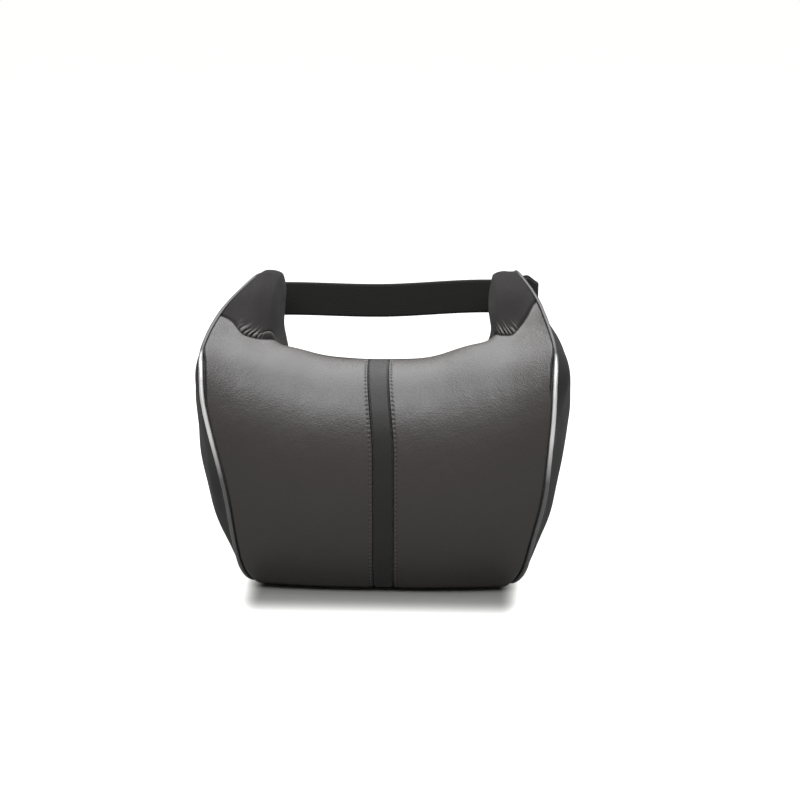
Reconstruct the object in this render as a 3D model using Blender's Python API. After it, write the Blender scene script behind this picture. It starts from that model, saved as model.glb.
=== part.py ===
"""Car neck pillow: a moulded foam saddle with two rear arms, in a sewn cover with an elastic strap.

The cover is two leather front panels with a centre strip between them, two domed leather side
panels edged with piping, and one knitted panel over the back, the arms and the base.
The front faces -Y, the arms reach back along +Y, and the pillow stands on its flat base at Z = 0.
All sizes are in millimetres until a mesh is made.
"""
import bmesh
import bpy
import numpy as np

MM = 0.001

# Body of the pillow, measured over the cover and without the piping.
CENTRE_HEIGHT = 179.0
CENTRE_DEPTH = 115.0
ARM_HEIGHT = 233.0
ARM_DEPTH = 169.0
BASE_HALF_WIDTH = 100.0
SHOULDER_HALF_WIDTH = 133.0
SIDE_BULGE = 14.5
SIDE_HALF_WIDTH = SHOULDER_HALF_WIDTH + SIDE_BULGE
ARM_GAP_HALF = 82.0
BASE_EDGE_LIFT = 2.5

# Cover, piping, strap and the clearances between the pieces.
COVER_THICKNESS = 2.0
CENTRE_STRIP_WIDTH = 16.5
PIPING_DIAMETER = 4.5
STRAP_WIDTH = 28.0
STRAP_THICKNESS = 1.6
STRAP_DROP = 44.0
STRAP_SAG = 2.6
STRAP_STAND_OFF = 12.0
STRAP_LOOP = 13.0
STRAP_BEND = 4.2
STRAP_HEIGHT = ARM_HEIGHT - STRAP_DROP
GAP = 0.3
SEAM_GAP = 0.6
CORE_CLEARANCE = 0.9
BEVEL = 1.0
CORE_BEVEL = 1.7
CORE_ROUNDING = 1.0

# Outline stations round the body, from the base round the front, over the top and down the back.
# Each holds the centre section (share of depth, share of height), the side section (the same
# shares of the arm's size), the flare from base to shoulder width, and how the two sections blend.
BASE, FRONT, BACK = 0, 1, 2
STATIONS = (
    (0.63, 0.00, 0.47, 0.00, 0.00, BASE),
    (0.38, 0.00, 0.27, 0.00, 0.02, BASE),
    (0.20, 0.04, 0.145, 0.066, 0.29, FRONT),
    (0.08, 0.23, 0.068, 0.22, 0.54, FRONT),
    (0.02, 0.50, 0.022, 0.42, 0.76, FRONT),
    (0.07, 0.77, 0.006, 0.64, 0.95, FRONT),
    (0.26, 0.94, 0.090, 0.828, 1.00, FRONT),
    (0.54, 1.00, 0.355, 0.911, 0.78, FRONT),
    (0.77, 0.94, 0.575, 0.960, 0.53, BACK),
    (0.90, 0.80, 0.790, 1.000, 0.16, BACK),
    (0.965, 0.63, 0.945, 0.955, 0.13, BACK),
    (1.00, 0.46, 1.000, 0.850, 0.26, BACK),
    (1.00, 0.28, 0.982, 0.630, 0.38, BACK),
    (0.975, 0.11, 0.885, 0.290, 0.28, BACK),
    (0.88, 0.01, 0.720, 0.045, 0.04, BASE),
)
STATION_COUNT = len(STATIONS)

# The seam where leather meets knit, as a station at each share of the half width.
SEAM_ACROSS = (0.0, 0.60, 0.74, 0.84, 0.92, 1.0)
SEAM_STATION = (7.15, 7.15, 7.05, 6.80, 6.95, 7.30)
BASE_SEAM_STATION = 0.80
ARM_SHARE = 0.68
ARM_BLEND = 0.07
BASE_FLAT = 0.86
TRIM_START = 0.80
TRIM_LEAST = 0.03
HALVINGS = 20
SMALL_STEP = 1e-3

# Centre of the side panels' dome, as shares of the arm's depth and height.
DOME_CENTRE = (0.50, 0.56)

# Grid lines that every piece of the cover and the foam share.
FRONT_STEPS = 20
BACK_STEPS = 28
ACROSS_LINES = (0.20, 0.36, 0.50, 0.60, 0.64, 0.67, 0.70, 0.74, 0.80, 0.87, 0.94, 1.0)
RING_LINES = (1.0, 0.84, 0.64, 0.40, 0.16)
PIPING_SIDES = 8
STRAP_ROWS = 5
STRAP_SAMPLES = 2
STRAP_TURN_DEG = (-50.0, -10.0, 30.0, 60.0, 90.0)
REAR_STATIONS = (10.0, 12.5)
REAR_SAMPLES = 60
SHARP_EDGE_DEG = 50.0


def smooth(value):
    """Ease from 0 to 1 with flat ends."""
    value = np.clip(value, 0.0, 1.0)
    return value * value * (3.0 - 2.0 * value)


def closed_curve(points, station):
    """A smooth closed curve through the points, read at the stations."""
    points = np.asarray(points, float)
    count = len(points)
    station = np.mod(station, count)
    first = np.floor(station).astype(int) % count
    part = (station - np.floor(station))[..., None]
    before, start = points[(first - 1) % count], points[first]
    end, after = points[(first + 1) % count], points[(first + 2) % count]
    return 0.5 * (2 * start + (end - before) * part
                  + (2 * before - 5 * start + 4 * end - after) * part ** 2
                  + (3 * start - before - 3 * end + after) * part ** 3)


def sections(station):
    """The centre section (y, z) and the side section (x, y, z) at the stations."""
    rows = np.array([row[:5] for row in STATIONS])
    shares = closed_curve(rows, station)
    height = np.maximum(shares[..., 1], 0.0) * CENTRE_HEIGHT
    centre = np.stack([shares[..., 0] * CENTRE_DEPTH, height], -1)
    lift = BASE_EDGE_LIFT + np.maximum(shares[..., 3], 0.0) * (ARM_HEIGHT - BASE_EDGE_LIFT)
    flare = BASE_HALF_WIDTH + shares[..., 4] * (SHOULDER_HALF_WIDTH - BASE_HALF_WIDTH)
    return centre, np.stack([flare, shares[..., 2] * ARM_DEPTH, lift], -1)


def zone_share(station, zone):
    """How far the stations belong to a zone, eased from one station to the next."""
    flags = np.array([row[5] == zone for row in STATIONS], float)
    station = np.mod(station, STATION_COUNT)
    first = np.floor(station).astype(int) % STATION_COUNT
    ease = smooth(station - np.floor(station))
    return flags[first] * (1 - ease) + flags[(first + 1) % STATION_COUNT] * ease


def body_point(station, across):
    """A point on the cover; across runs from -1 at the left piping to +1 at the right one."""
    station, across = np.broadcast_arrays(np.asarray(station, float), np.asarray(across, float))
    centre, side = sections(station)
    reach = np.abs(across)
    arm = smooth((reach - ARM_SHARE + ARM_BLEND) / (2 * ARM_BLEND))
    blend = zone_share(station, FRONT) * reach ** 3 + zone_share(station, BACK) * arm
    base = zone_share(station, BASE)
    rise = blend + base * smooth((reach - BASE_FLAT) / (1.0 - BASE_FLAT))
    blend = blend + base * reach ** 2
    inner = ARM_GAP_HALF / ARM_SHARE
    x = across * (inner + (side[..., 0] - inner) * reach ** 4)
    y = centre[..., 0] + (side[..., 1] - centre[..., 0]) * blend
    z = centre[..., 1] + (side[..., 2] - centre[..., 1]) * rise
    return np.stack([x, y, z], -1)


def dome_point(station, ring):
    """A point on the right side panel; ring runs from 1 at the piping to 0 at its middle."""
    station, ring = np.broadcast_arrays(np.asarray(station, float), np.asarray(ring, float))
    side = sections(station)[1]
    middle = np.array([DOME_CENTRE[0] * ARM_DEPTH, DOME_CENTRE[1] * ARM_HEIGHT])
    flat = side[..., 2] / ARM_HEIGHT
    fall = ring ** 2 * (1 + flat * (1 - ring))
    x = SIDE_HALF_WIDTH + (side[..., 0] - SIDE_HALF_WIDTH) * fall
    y = middle[0] + (side[..., 1] - middle[0]) * ring
    z = middle[1] + (side[..., 2] - middle[1]) * ring
    return np.stack([x, y, z], -1)


def normals(surface, first, second):
    """Outward unit normals of a surface at its two parameters."""
    step = SMALL_STEP
    along = surface(first + step, second) - surface(first - step, second)
    over = surface(first, second + step) - surface(first, second - step)
    normal = np.cross(over, along)
    return normal / np.linalg.norm(normal, axis=-1, keepdims=True)


def edge_share(surface, station, margin):
    """Where a surface ends when it stops short of the piping's line by the margin."""
    rim = surface(station, 1.0)
    along = surface(station + SMALL_STEP, 1.0) - rim
    along = along / np.linalg.norm(along, axis=-1, keepdims=True)
    low, high = np.zeros(rim.shape[:-1]), np.ones(rim.shape[:-1])
    for _ in range(HALVINGS):
        middle = (low + high) / 2
        away = np.cross(surface(station, middle) - rim, along)
        far = np.linalg.norm(away, axis=-1) > margin
        low, high = np.where(far, middle, low), np.where(far, high, middle)
    return low


def trimmed(across, station, margin):
    """The lines across, with their outer stretch drawn in to stop short of the piping's line."""
    stop = np.maximum(edge_share(body_point, station, margin), TRIM_START + TRIM_LEAST)
    outer = np.maximum(np.abs(across) - TRIM_START, 0.0) / (1.0 - TRIM_START)
    return np.sign(across) * (np.minimum(np.abs(across), TRIM_START) + outer * (stop - TRIM_START))


def station_margin(station, across, margin):
    """The change of station that covers the margin along the outline."""
    ahead = body_point(station + SMALL_STEP, across) - body_point(station, across)
    speed = np.linalg.norm(ahead, axis=-1) / SMALL_STEP
    return margin / speed


def seam_station(across):
    """The station of the seam between leather and knit."""
    reach = np.abs(across)
    low = np.clip(np.searchsorted(SEAM_ACROSS, reach, side="right") - 1, 0, len(SEAM_ACROSS) - 2)
    start, end = np.array(SEAM_ACROSS)[low], np.array(SEAM_ACROSS)[low + 1]
    ease = smooth((reach - start) / (end - start))
    return np.array(SEAM_STATION)[low] * (1 - ease) + np.array(SEAM_STATION)[low + 1] * ease


def outline_lines(across):
    """Stations of the shared grid lines, one row each, from base seam to crest seam and round."""
    across = np.asarray(across, float)
    crest = seam_station(across)
    front = np.linspace(0.0, 1.0, FRONT_STEPS, endpoint=False)[:, None]
    back = np.linspace(0.0, 1.0, BACK_STEPS + 1)[:, None]
    rise = BASE_SEAM_STATION + (crest - BASE_SEAM_STATION) * front
    fall = crest + (BASE_SEAM_STATION + STATION_COUNT - crest) * back
    return np.concatenate([rise, fall])


def open_seams(station, across):
    """Move a panel's first and last lines half a gap inside its seams."""
    station = station.copy()
    station[0] += station_margin(station[0], across, SEAM_GAP / 2)
    station[-1] -= station_margin(station[-1], across, SEAM_GAP / 2)
    return station


def depth_shift():
    """Half the pillow's depth with piping and strap, which puts its middle at Y = 0."""
    loop = sections(outline_lines([1.0])[:, 0])[1]
    front = loop[:, 1].min() - PIPING_DIAMETER / 2
    rear = ARM_DEPTH + STRAP_STAND_OFF + STRAP_THICKNESS / 2
    return (front + rear) / 2


def to_world(points):
    """Row-frame metres from millimetres measured back from the front."""
    return (np.asarray(points) - np.array([0.0, depth_shift(), 0.0])) * MM


def make_object(name, vertices, faces, material):
    """A closed mesh object with outward faces from points in millimetres."""
    mesh = bpy.data.meshes.new(name)
    mesh.from_pydata([tuple(point) for point in to_world(vertices)], [], faces)
    work = bmesh.new()
    work.from_mesh(mesh)
    bmesh.ops.recalc_face_normals(work, faces=work.faces)
    work.to_mesh(mesh)
    work.free()
    mesh.materials.append(material)
    mesh.shade_smooth()
    mesh.set_sharp_from_angle(angle=np.radians(SHARP_EDGE_DEG))
    part = bpy.data.objects.new(name, mesh)
    bpy.context.scene.collection.objects.link(part)
    return part


def shell(name, outer, inner, material):
    """A panel with thickness from two grids of points, closed with a rim all round."""
    rows, columns = outer.shape[:2]
    vertices = np.concatenate([outer.reshape(-1, 3), inner.reshape(-1, 3)])
    back = rows * columns
    faces = []
    for row in range(rows - 1):
        for column in range(columns - 1):
            corner = row * columns + column
            quad = (corner, corner + 1, corner + columns + 1, corner + columns)
            faces.append(quad)
            faces.append(tuple(quad[turn] + back for turn in (0, 3, 2, 1)))
    rim = [(0, column) for column in range(columns)]
    rim += [(row, columns - 1) for row in range(1, rows)]
    rim += [(rows - 1, column) for column in range(columns - 2, -1, -1)]
    rim += [(row, 0) for row in range(rows - 2, 0, -1)]
    rim = [row * columns + column for row, column in rim]
    for here, there in zip(rim, rim[1:] + rim[:1]):
        faces.append((there, here, here + back, there + back))
    return make_object(name, vertices, faces, material)


def thick_panel(name, station, across, material):
    """A sewn panel of the cover, with edges bevelled towards the inside."""
    outer = trimmed(across, station, piping_margin())
    face = body_point(station, outer)
    station = open_seams(station, across)
    inner = trimmed(across, station, piping_margin() + BEVEL * COVER_THICKNESS)
    lining = body_point(station, inner) - COVER_THICKNESS * normals(body_point, station, inner)
    return shell(name, face, lining, material)


def piping_margin():
    """How far a panel stops short of the piping's centre line."""
    return PIPING_DIAMETER / 2 + GAP


def strip_share():
    """The share across at the centre strip's edge."""
    return CENTRE_STRIP_WIDTH / 2 * ARM_SHARE / ARM_GAP_HALF


def front_panels(material):
    """The two leather panels of the front, from the base seam over the crest."""
    start = strip_share() + GAP / 2 * ARM_SHARE / ARM_GAP_HALF
    across = np.array([start, *ACROSS_LINES])
    station = open_seams(outline_lines(across)[:FRONT_STEPS + 1], across)
    thick_panel("front_panel_right", station, across, material)
    thick_panel("front_panel_left", station[:, ::-1], -across[::-1], material)


def centre_strip(material):
    """The narrow smooth strip between the front panels."""
    edge = strip_share() - GAP / 2 * ARM_SHARE / ARM_GAP_HALF
    across = np.array([-edge, 0.0, edge])
    station = open_seams(outline_lines(across)[:FRONT_STEPS + 1], across)
    thick_panel("centre_strip", station, across, material)


def full_width():
    """The shared lines across the whole pillow."""
    half = np.array([strip_share(), *ACROSS_LINES])
    return np.concatenate([-half[::-1], half])


def back_panel(material):
    """The knitted panel over the arms, the back and the base."""
    across = full_width()
    station = open_seams(outline_lines(across)[FRONT_STEPS:], across)
    thick_panel("back_panel", station, across, material)


def side_panel(name, side, material):
    """A domed leather side panel inside its ring of piping."""
    station = outline_lines([1.0])[:-1]
    count = len(station)
    ring = edge_share(dome_point, station, piping_margin()) * np.array(RING_LINES)
    bevel = piping_margin() + BEVEL * COVER_THICKNESS
    inside = edge_share(dome_point, station, bevel) * np.array(RING_LINES)
    station = np.broadcast_to(station, ring.shape)
    outer = dome_point(station, ring)
    inner = dome_point(station, inside) + COVER_THICKNESS * normals(dome_point, station, inside)
    peak = np.array([SIDE_HALF_WIDTH, DOME_CENTRE[0] * ARM_DEPTH, DOME_CENTRE[1] * ARM_HEIGHT])
    rings = ring.shape[1]
    layer = count * rings + 1
    vertices = np.concatenate([outer.reshape(-1, 3), [peak],
                               inner.reshape(-1, 3), [peak - [COVER_THICKNESS, 0, 0]]])
    vertices = vertices * np.array([side, 1.0, 1.0])
    faces = []
    for row in range(count):
        after = (row + 1) % count
        for column in range(rings - 1):
            quad = (row * rings + column, row * rings + column + 1,
                    after * rings + column + 1, after * rings + column)
            faces.append(quad)
            faces.append(tuple(quad[turn] + layer for turn in (0, 3, 2, 1)))
        tip = (row * rings + rings - 1, layer - 1, after * rings + rings - 1)
        faces.append(tip)
        faces.append(tuple(index + layer for index in reversed(tip)))
        faces.append((after * rings, row * rings, row * rings + layer, after * rings + layer))
    return make_object(name, vertices, faces, material)


def foam_core(material):
    """The moulded foam, which fills the cover with a small clearance."""
    depth = COVER_THICKNESS + CORE_CLEARANCE
    corner = piping_margin() + CORE_BEVEL * depth
    across = full_width()
    station = outline_lines(across)[:-1]
    across = trimmed(across, station, corner)
    sink = np.full(across.shape + (1,), depth)
    sink[:, [0, -1]] += CORE_ROUNDING
    middle = body_point(station, across) - sink * normals(body_point, station, across)
    rim = outline_lines([1.0])[:-1]
    ring = edge_share(dome_point, rim, corner) * np.array(RING_LINES)
    rim = np.broadcast_to(rim, ring.shape)
    sink = np.full(ring.shape + (1,), depth)
    sink[:, 0] += CORE_ROUNDING
    right = dome_point(rim, ring) + sink * normals(dome_point, rim, ring)
    left = right[:, ::-1] * np.array([-1.0, 1.0, 1.0])
    grid = np.concatenate([left, middle, right], axis=1)
    count, columns = grid.shape[:2]
    peak = np.array([SIDE_HALF_WIDTH - depth, DOME_CENTRE[0] * ARM_DEPTH,
                     DOME_CENTRE[1] * ARM_HEIGHT])
    vertices = np.concatenate([grid.reshape(-1, 3), [peak * [-1, 1, 1]], [peak]])
    faces = []
    for row in range(count):
        after = (row + 1) % count
        for column in range(columns - 1):
            faces.append((row * columns + column, row * columns + column + 1,
                          after * columns + column + 1, after * columns + column))
        faces.append((row * columns, after * columns, count * columns))
        faces.append((after * columns - 1 + columns, row * columns - 1 + columns,
                      count * columns + 1))
    return make_object("foam_core", vertices, faces, material)


def piping(name, side, material):
    """A ring of piping round a side panel's edge."""
    path = sections(outline_lines([1.0])[:-1, 0])[1]
    steps = len(path)
    along = np.roll(path, -1, axis=0) - np.roll(path, 1, axis=0)
    along = along / np.linalg.norm(along, axis=1, keepdims=True)
    outward = np.cross(along, [1.0, 0.0, 0.0])
    outward = outward / np.linalg.norm(outward, axis=1, keepdims=True)
    sideways = np.cross(along, outward)
    turn = np.linspace(0, 2 * np.pi, PIPING_SIDES, endpoint=False)
    tube = (path[:, None] + PIPING_DIAMETER / 2
            * (np.cos(turn)[None, :, None] * outward[:, None]
               + np.sin(turn)[None, :, None] * sideways[:, None]))
    vertices = tube.reshape(-1, 3) * np.array([side, 1.0, 1.0])
    faces = []
    for step in range(steps):
        after = (step + 1) % steps
        for point in range(PIPING_SIDES):
            beside = (point + 1) % PIPING_SIDES
            faces.append((step * PIPING_SIDES + point, step * PIPING_SIDES + beside,
                          after * PIPING_SIDES + beside, after * PIPING_SIDES + point))
    return make_object(name, vertices, faces, material)


def rear_edge(height):
    """The point of the piping's line at the arm's rear, at each height."""
    station = np.linspace(*REAR_STATIONS, REAR_SAMPLES)
    loop = sections(station)[1]
    order = np.argsort(loop[:, 2])
    height = np.asarray(height, float)
    x = np.interp(height, loop[order, 2], loop[order, 0])
    y = np.interp(height, loop[order, 2], loop[order, 1])
    return np.stack([x, y], -1)


def open_curve(points, samples):
    """A smooth open curve through the points, with a few samples for each stretch."""
    points = np.concatenate([[2 * points[0] - points[1]], points, [2 * points[-1] - points[-2]]])
    stretches = len(points) - 3
    place = np.linspace(0, stretches, stretches * samples + 1)
    first = np.minimum(place.astype(int), stretches - 1)
    part = (place - first)[:, None]
    before, start, end, after = (points[first + offset] for offset in range(4))
    return 0.5 * (2 * start + (end - before) * part
                  + (2 * before - 5 * start + 4 * end - after) * part ** 2
                  + (3 * start - before - 3 * end + after) * part ** 3)


def strap_plan(height):
    """The right half of the strap seen from above, from its seam round its loop to the middle."""
    clear = (PIPING_DIAMETER / 2 + 2 * GAP) * np.sqrt(0.5)
    line = ARM_DEPTH + STRAP_STAND_OFF
    edge = rear_edge(STRAP_HEIGHT)[0]
    turn = np.radians(STRAP_TURN_DEG)
    bend = np.stack([edge + STRAP_LOOP - STRAP_BEND * (1 - np.cos(turn)),
                     line - STRAP_BEND * (1 - np.sin(turn))], -1)
    after = edge + STRAP_LOOP - 2 * STRAP_BEND
    run = np.array([[after, line], [ARM_GAP_HALF, line], [ARM_GAP_HALF / 2, line], [0.0, line]])
    return open_curve(np.concatenate([[rear_edge(height) + clear], bend, run]), STRAP_SAMPLES)


def strap(material):
    """The elastic webbing that closes the pillow behind the headrest."""
    rows = []
    for share in np.linspace(0.0, 1.0, STRAP_ROWS):
        plan = strap_plan(STRAP_HEIGHT + share * STRAP_WIDTH)
        plan = np.concatenate([plan, (plan[:-1] * [-1.0, 1.0])[::-1]])
        along = np.gradient(plan, axis=0)
        along = along / np.linalg.norm(along, axis=1, keepdims=True)
        across = np.stack([along[:, 1], -along[:, 0]], -1) * STRAP_THICKNESS / 2
        droop = STRAP_SAG * (1 - smooth(np.abs(plan[:, 0]) / ARM_GAP_HALF))
        height = STRAP_HEIGHT + share * STRAP_WIDTH - droop
        rows.append((np.column_stack([plan + across, height]),
                     np.column_stack([plan - across, height])))
    outer = np.stack([row[0] for row in rows])
    inner = np.stack([row[1] for row in rows])
    return shell("strap", outer, inner, material)


def make_material(name, colour, roughness, metallic=0.0):
    """A plain finish with the part's colour."""
    material = bpy.data.materials.new(name)
    material.use_nodes = True
    shader = material.node_tree.nodes["Principled BSDF"]
    shader.inputs["Base Color"].default_value = (*colour, 1.0)
    shader.inputs["Roughness"].default_value = roughness
    shader.inputs["Metallic"].default_value = metallic
    return material


def clear_scene():
    """Remove whatever the scene holds."""
    for item in list(bpy.data.objects):
        bpy.data.objects.remove(item, do_unlink=True)


def main():
    """Build the pillow."""
    clear_scene()
    leather = make_material("leather", (0.075, 0.073, 0.074), 0.42)
    smooth_leather = make_material("smooth_leather", (0.040, 0.039, 0.040), 0.50)
    vinyl = make_material("vinyl", (0.050, 0.050, 0.052), 0.22)
    knit = make_material("knit", (0.050, 0.047, 0.048), 0.90)
    webbing = make_material("webbing", (0.018, 0.018, 0.018), 0.80)
    foam = make_material("foam", (0.78, 0.76, 0.70), 0.95)
    foam_core(foam)
    front_panels(leather)
    centre_strip(smooth_leather)
    side_panel("side_panel_right", 1.0, leather)
    side_panel("side_panel_left", -1.0, leather)
    back_panel(knit)
    piping("piping_right", 1.0, vinyl)
    piping("piping_left", -1.0, vinyl)
    strap(webbing)


main()
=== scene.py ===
"""Looks of the car neck pillow: leather front, knitted back and horns, piped side panels, webbing strap.

Every piece is made from the same surface as the solids. Sizes are in millimetres, with y measured
back from the pillow's front, until a mesh is made.
"""
import math

import bpy
import numpy as np
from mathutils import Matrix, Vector


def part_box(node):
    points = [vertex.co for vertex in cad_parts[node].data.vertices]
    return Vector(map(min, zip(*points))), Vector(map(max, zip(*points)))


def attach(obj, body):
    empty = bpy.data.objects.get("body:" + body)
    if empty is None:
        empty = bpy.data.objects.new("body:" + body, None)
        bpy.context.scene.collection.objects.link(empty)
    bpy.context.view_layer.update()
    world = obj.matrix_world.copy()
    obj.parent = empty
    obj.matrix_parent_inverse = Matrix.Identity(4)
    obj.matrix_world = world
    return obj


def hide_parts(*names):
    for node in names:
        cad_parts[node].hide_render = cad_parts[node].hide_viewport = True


MM = 0.001

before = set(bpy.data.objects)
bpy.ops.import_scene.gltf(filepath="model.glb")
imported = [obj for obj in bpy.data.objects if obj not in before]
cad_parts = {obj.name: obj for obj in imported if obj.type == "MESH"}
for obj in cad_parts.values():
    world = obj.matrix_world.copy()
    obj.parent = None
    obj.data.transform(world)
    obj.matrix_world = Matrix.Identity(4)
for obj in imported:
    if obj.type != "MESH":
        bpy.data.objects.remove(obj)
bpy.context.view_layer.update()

# The body's sizes, as in the solids.
CENTRE_HEIGHT = 179.0
CENTRE_DEPTH = 115.0
ARM_HEIGHT = 233.0
ARM_DEPTH = 169.0
BASE_HALF_WIDTH = 100.0
SHOULDER_HALF_WIDTH = 133.0
SIDE_HALF_WIDTH = 147.5
ARM_GAP_HALF = 82.0
BASE_EDGE_LIFT = 2.5
CENTRE_STRIP_WIDTH = 15.0
PIPING_DIAMETER = 4.5
STRAP_WIDTH = 28.0
STRAP_THICKNESS = 1.6
STRAP_HEIGHT = 189.0
STRAP_STAND_OFF = 12.0
STRAP_LOOP = 13.0
STRAP_BEND = 4.2

# How the elastic hangs: sag and tilt of its run, curl of its loops, and how far their corners droop.
STRAP_SAG = 2.6
STRAP_TILT = 2.6
STRAP_TILT_SPREAD = 130.0
STRAP_CURL = 4.0
STRAP_CURL_START, STRAP_CURL_END = 100.0, 114.0
STRAP_CORNER_DROOP, STRAP_CORNER_WIDTH = 5.0, 9.0
STRAP_EDGE_ROUND = 0.8

# Outline stations: centre section, side section, flare and zone, as in the solids.
BASE, FRONT, BACK = 0, 1, 2
STATIONS = (
    (0.63, 0.00, 0.47, 0.00, 0.00, BASE),
    (0.38, 0.00, 0.27, 0.00, 0.02, BASE),
    (0.20, 0.04, 0.145, 0.066, 0.29, FRONT),
    (0.08, 0.23, 0.068, 0.22, 0.54, FRONT),
    (0.02, 0.50, 0.022, 0.42, 0.76, FRONT),
    (0.07, 0.77, 0.006, 0.64, 0.95, FRONT),
    (0.26, 0.94, 0.090, 0.828, 1.00, FRONT),
    (0.54, 1.00, 0.355, 0.911, 0.78, FRONT),
    (0.77, 0.94, 0.575, 0.960, 0.53, BACK),
    (0.90, 0.80, 0.790, 1.000, 0.16, BACK),
    (0.965, 0.63, 0.945, 0.955, 0.13, BACK),
    (1.00, 0.46, 1.000, 0.850, 0.26, BACK),
    (1.00, 0.28, 0.982, 0.630, 0.38, BACK),
    (0.975, 0.11, 0.885, 0.290, 0.28, BACK),
    (0.88, 0.01, 0.720, 0.045, 0.04, BASE),
)
STATION_COUNT = len(STATIONS)
CREST_STATION = 7.15

# Seam between leather and knit: (across, station) from the saddle to the piping, on each side. The base
# has the other seam between the two.
SEAM_LEFT = ((0.0, 7.15), (0.62, 7.15), (0.675, 7.24), (0.72, 7.09), (0.79, 6.97), (0.855, 6.92),
             (0.88, 7.00), (0.91, 7.15), (0.94, 7.20), (1.0, 7.17))
SEAM_RIGHT = ((0.0, 7.15), (0.62, 7.15), (0.69, 7.30), (0.73, 7.16), (0.82, 7.04), (0.85, 7.16),
              (0.91, 7.38), (0.95, 7.58), (1.0, 7.75))
SEAM_STEPS = 1000
SEAM_SMOOTHING = 0.010
BASE_SEAM_STATION = 0.80

# Where the saddle turns into the arms, how wide the base is flat, and the side panels' middle.
ARM_SHARE = 0.68
ARM_BLEND = 0.07
BASE_FLAT = 0.86
DOME_CENTRE = (0.50, 0.56)

# Outline table: fine enough to read with straight steps, and smoothed to lose the stations' kinks.
TABLE_STEPS = 3000
TABLE_SMOOTHING = 0.20

# Steps along the outline and across it that slopes are measured over.
STATION_STEP = 0.02
ACROSS_STEP = 0.004

# Cover: its thickness, the core's inset, how far the strip sinks, and the rolls where a panel turns into
# a seam, each with its depth and width.
COVER_THICKNESS = 1.3
CORE_INSET = 3.4
PIPING_ROLL = (3.2, 2.0)
STRIP_ROLL = (2.4, 0.62)
STRIP_OWN_ROLL = (1.8, 0.55)
STRIP_SINK = 0.35
CREST_ROLL = (1.3, 1.6)
KNIT_ROLL = (1.6, 2.2)
BASE_ROLL = (1.0, 1.5)

# Lines across and down a front panel: how many, and how much closer together at the ends.
FRONT_COLUMNS = (112, 0.72)
FRONT_ROWS = (320, 0.35)

# Topstitching beside the centre strip.
STITCH_OFFSET = 2.3
STITCH_PITCH = 3.6
STITCH_LENGTH = 2.7
STITCH_RADIUS = 0.34
STITCH_ARCH, STITCH_DIVE = 0.75, 0.85
STITCH_STEPS, STITCH_SIDES = 9, 8
PUCKER_DEPTH = 0.34
PUCKER_WIDTH = 1.1

# Piping: the cord as it shows, how far in and down it sits at the horns (-1 is the left one), how deep it
# sits in its seam low down, and the heights between which each of the two comes in.
CORD_DIAMETER = 3.2
PIPING_SINK = {-1: (0.9, 1.3), 1: (0.3, 0.8)}
HORN_FOOT, HORN_NECK = 188.0, 204.0
LOW_SINK, LOW_TOP, LOW_FOOT = 0.5, 100.0, 50.0

# Unevenness of the sewn cover: bumps of (size, middle, width) on the left, -1, and the right, 1.
# Outward, by height: beside the piping, in a broader band there, at the horns' feet, on the side panels.
RIM_BUMPS = {-1: ((2.6, 200.0, 16.0), (1.4, 164.0, 20.0)),
             1: ((0.7, 200.0, 16.0), (-1.2, 179.0, 25.0), (1.8, 15.0, 22.0))}
WAIST_BUMPS = {-1: ((2.6, 217.0, 11.0), (-5.4, 84.0, 54.0)), 1: ((2.6, 86.0, 34.0),)}
FOOT_BUMPS = {-1: ((2.8, 186.0, 13.0),), 1: ((5.0, 186.0, 13.0),)}
SIDE_BUMPS = {-1: ((3.4, 184.0, 22.0), (5.3, 84.0, 54.0)), 1: ((6.8, 182.0, 26.0), (-5.7, 94.0, 36.0))}
# Upward, by distance from the middle: on the crest, and on the horns' tops.
CREST_BUMPS = {-1: ((3.2, 67.0, 20.0),), 1: ((6.4, 71.0, 25.0),)}
HORN_BUMPS = {-1: ((1.8, 95.0, 8.0),), 1: ((2.4, 95.0, 8.0),)}
# How far the horns' inner faces lean into the gap, their outer edges rise and their inner edges drop.
HORN_PINCH = {-1: 2.0, 1: 0.8}
HORN_TILT = {-1: -2.2, 1: 1.6}
HORN_EDGE_DROP = 2.6
# How far the centre strip sits to the right at the crest, goes on from there lower down, and comes back.
STRIP_START, STRIP_SHIFT, STRIP_RETURN = -3.6, 6.6, 1.0

# Gathers of the knit in the seam's corner at each horn.
GATHER_ACROSS = {-1: 0.835, 1: 0.79}
GATHER_SPREAD = 9.5
GATHER_PITCH = 3.5
GATHER_HEIGHT = 4.2
GATHER_REACH = 7.5
GATHER_SLANT = 0.45
FOLD_HEIGHT = 2.0

# Loops of the knit and threads of the webbing.
KNIT_WALE, KNIT_COURSE = 1.5, 1.25
WEBBING_RIB, WEBBING_YARN = 1.1, 1.4

# Where a painted highlight makes the piping's vinyl near-white, in the row frame's metres: axis, start,
# end and least share.
PAINTED_HIGHLIGHT_RANGES = (("Z", 0.098, 0.134, 0.10), ("Z", 0.196, 0.185, 0.0), ("Y", 0.02, -0.01, 0.0))

# Camera, as the photograph was taken.
CAMERA_AZIMUTH = 2.3
CAMERA_ELEVATION = 15.0
CAMERA_DISTANCE = 1.5
CAMERA_TARGET = (0.0132, -0.01995, 0.1442)
CAMERA_FOCAL_PX = 1911.0
IMAGE_SIZE = 800
SENSOR_WIDTH = 36.0

# Studio: the world's light, the white background, its share in reflections, and the box round the pillow
# where the white glow fades out, a painted shadow over the lamps' real one.
WORLD_LIGHT = 0.04
WHITE = (1.0, 1.0, 0.985, 1.0)
REFLECTED_BACKDROP = 0.45
REFLECTED_FLOOR = 0.15
PAINTED_SHADOW_HALF_SIZE = (0.092, 0.078)
PAINTED_SHADOW_REACH = (0.016, 0.034)


def smooth(value):
    """Ease from 0 to 1 with flat ends."""
    value = np.clip(value, 0.0, 1.0)
    return value * value * (3.0 - 2.0 * value)


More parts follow.
